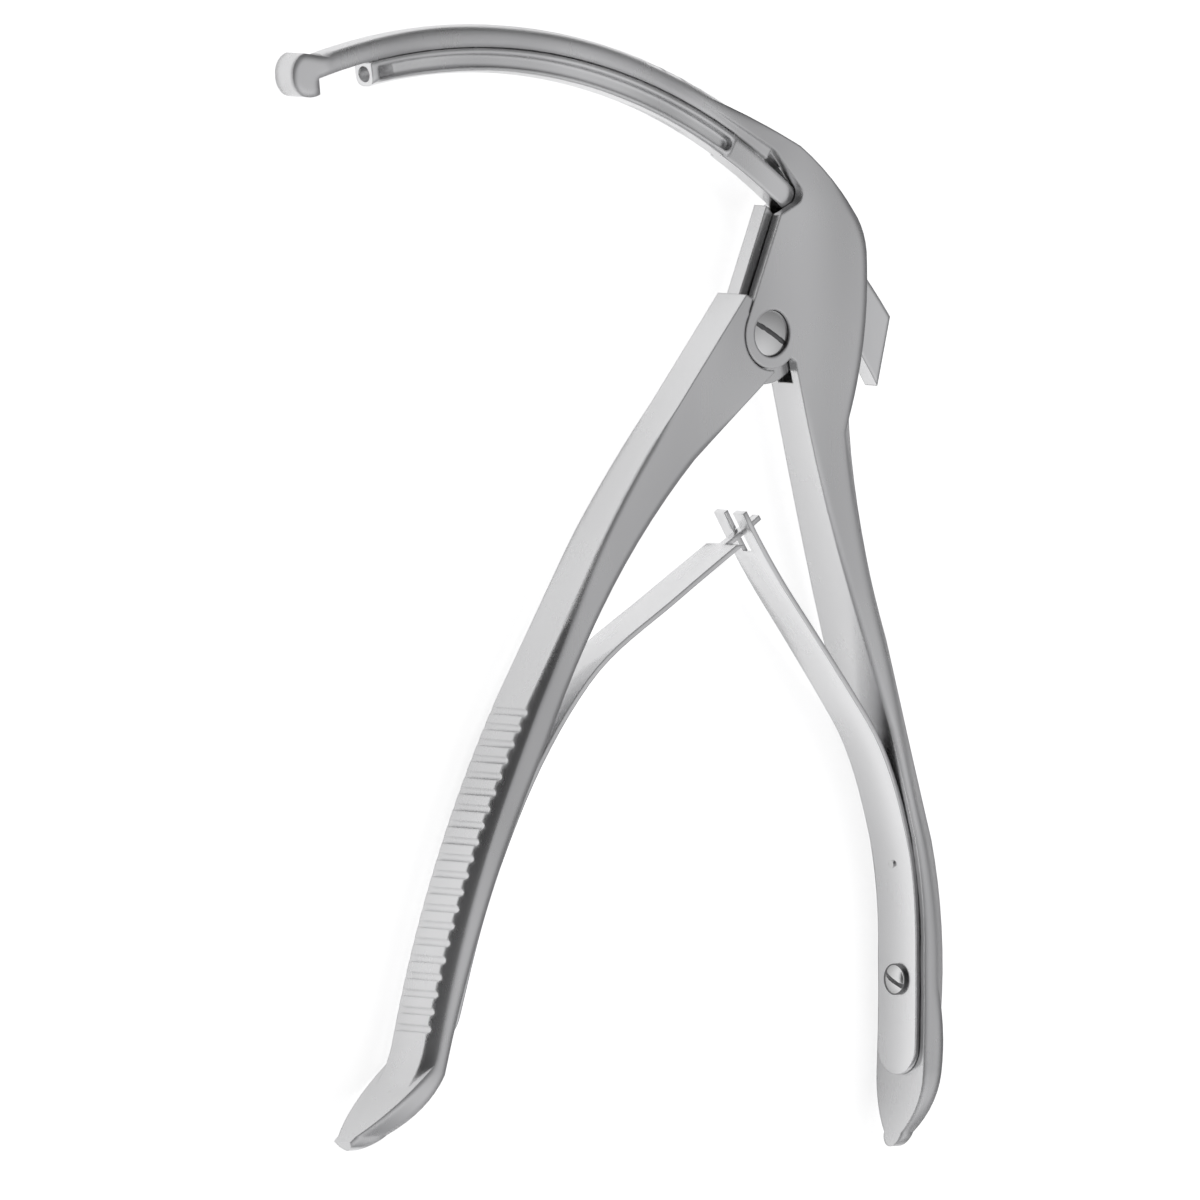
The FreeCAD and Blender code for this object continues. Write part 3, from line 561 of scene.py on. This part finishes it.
def make_sky(toward):
    """A soft studio sky that lights the object, and plain white behind it."""
    world = bpy.data.worlds.new("studio")
    bpy.context.scene.world = world
    world.use_nodes = True
    tree = world.node_tree
    tree.nodes.clear()
    way = node(tree, "TexCoord", output="Generated")
    overhead = node(tree, "ValToRGB", {"stops": SKY_BY_HEIGHT}, {0: clamp(dot(way, (0, 0, 1)))})
    endwise = fade(dot(way, (0, 1, 0)), *SKY_ENDWISE)
    round_camera = fade(dot(way, toward), *SKY_ROUND_CAMERA)
    sky = node(tree, "Background", {}, {"Color": overhead, "Strength": round_camera * endwise})
    white = node(tree, "Background", {}, {"Color": WHITE, "Strength": 1.0})
    seen = node(tree, "LightPath", output="Is Camera Ray")
    either = node(tree, "MixShader", {}, {0: seen, 1: sky, 2: white})
    node(tree, "OutputWorld", {}, {0: either})


def add_lamp():
    """One large soft lamp over the jaw, which polished faces don't mirror."""
    alone()
    bpy.ops.object.light_add(type="AREA", location=PIVOT + LAMP_PLACE)
    lamp = bpy.context.object
    lamp.name = "lamp_over"
    lamp.data.size = LAMP_SIZE
    lamp.data.energy = LAMP_POWER
    lamp.rotation_euler = (-LAMP_PLACE).to_track_quat("-Z", "Y").to_euler()
    lamp.visible_glossy = False


# Steels.
frame_satin = steel("frame_satin", FORGED, roughness=0.28, edge=0.6, full_edge=2.2,
                    side_bands=(GRIP_BAND, ARM_BAND, BACK_BAND), all_bands=(HOOK_BAND,))
handle_satin = steel("handle_satin", FORGED, roughness=0.28, edge=0.5, full_edge=2.2,
                     side_bands=(GRIP_BAND,), all_bands=(UPPER_HANDLE_BAND,))
slide_satin = steel("slide_satin", SLIDE_COLOUR, roughness=0.25, edge=0.4, full_edge=1.1,
                    side_bands=(WHOLE_BAND,))
spring_satin = steel("spring_satin", SPRING_COLOUR, roughness=0.26, edge=0.35, grain=CROSSWISE_GRAIN,
                     smudge=0.02)
screw_polish = steel("screw_polish", SCREW_COLOUR, roughness=0.20, edge=0.1)
# Painted shade: dark steel for the slot's floor and the foot of each screw head.
painted_slot_shade = steel("screw_slot_painted_shade", SLOT_SHADE_COLOUR, roughness=0.45, edge=0.1)

node_steels = {"frame_handle": frame_satin, "working_handle": handle_satin, "curved_slide": slide_satin,
               "left_leaf_spring": spring_satin, "right_leaf_spring": spring_satin,
               "pivot_screw": screw_polish, "left_spring_screw": screw_polish,
               "right_spring_screw": screw_polish, "left_spring_pin": screw_polish,
               "right_spring_pin": screw_polish}
for name, material in node_steels.items():
    finish_with(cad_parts[name], material)

# Leaf springs, which bend between the two handles.
left_leaf = make_leaf("left_leaf", LEFT_LEAF, 1)
cut_tongue(left_leaf)
right_leaf = make_leaf("right_leaf", RIGHT_LEAF, -1)
cut_fork(right_leaf)
for leaf, replaced in ((left_leaf, "left_leaf_spring"), (right_leaf, "right_leaf_spring")):
    round_leaf_edges(leaf)
    finish_with(leaf, spring_satin)
    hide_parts(replaced)
    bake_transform(leaf)

# Screws, each on the body that it is turned into. The left one stands square to its grip.
left_axis = (math.sin(LEFT_GRIP_SLOPE), -math.cos(LEFT_GRIP_SLOPE), 0)
screws = [("joint_screw", JOINT_SCREW, JOINT_SCREW_SEAT, (0, 0, 1), "pivot_screw", "frame"),
          ("left_screw", LEAF_SCREW, LEFT_SCREW_SEAT, left_axis, "left_spring_screw", "working"),
          ("right_screw", LEAF_SCREW, RIGHT_SCREW_SEAT, (-1, 0, 0), "right_spring_screw", "frame")]
for name, measures, seat, axis, replaced, body in screws:
    screw = make_screw(name, measures, seat, axis)
    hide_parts(replaced)
    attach(screw, body)

# Camera, floor, sky and lamp.
toward_camera = Vector((-math.sin(VIEW_ROUND) * math.cos(VIEW_UP), math.sin(VIEW_UP),
                        math.cos(VIEW_ROUND) * math.cos(VIEW_UP)))
add_camera(toward_camera)
make_floor()
make_sky(toward_camera)
add_lamp()

bpy.context.scene.view_settings.view_transform = "Standard"
